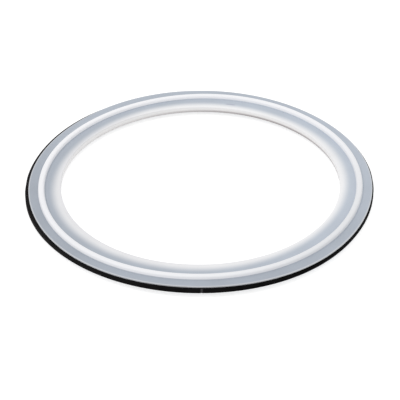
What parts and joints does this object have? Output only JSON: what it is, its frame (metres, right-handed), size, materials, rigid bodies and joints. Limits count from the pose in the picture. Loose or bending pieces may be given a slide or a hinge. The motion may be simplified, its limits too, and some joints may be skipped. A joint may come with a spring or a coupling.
{
  "type": "sanitary clamp gasket",
  "caption": "Flat ring gasket for a hygienic clamp union: white PTFE envelope with a raised bead on each face, slotted over a black elastomer core.",
  "frame": {"origin": "on the bore's axis, halfway through the gasket's thickness", "axes": "+Z along the bore's axis, out of the face that is up as it lies; the core has slid 0.3 mm, mostly towards -X; the core's splice is at -Y"},
  "size_m": [0.091, 0.091, 0.0038],
  "materials": {
    "ptfe": "turned satin, milky and slightly translucent",
    "elastomer": "matte moulded"
  },
  "bodies": {
    "root": {"envelope": "ptfe", "core": "elastomer"}
  },
  "joints": []
}
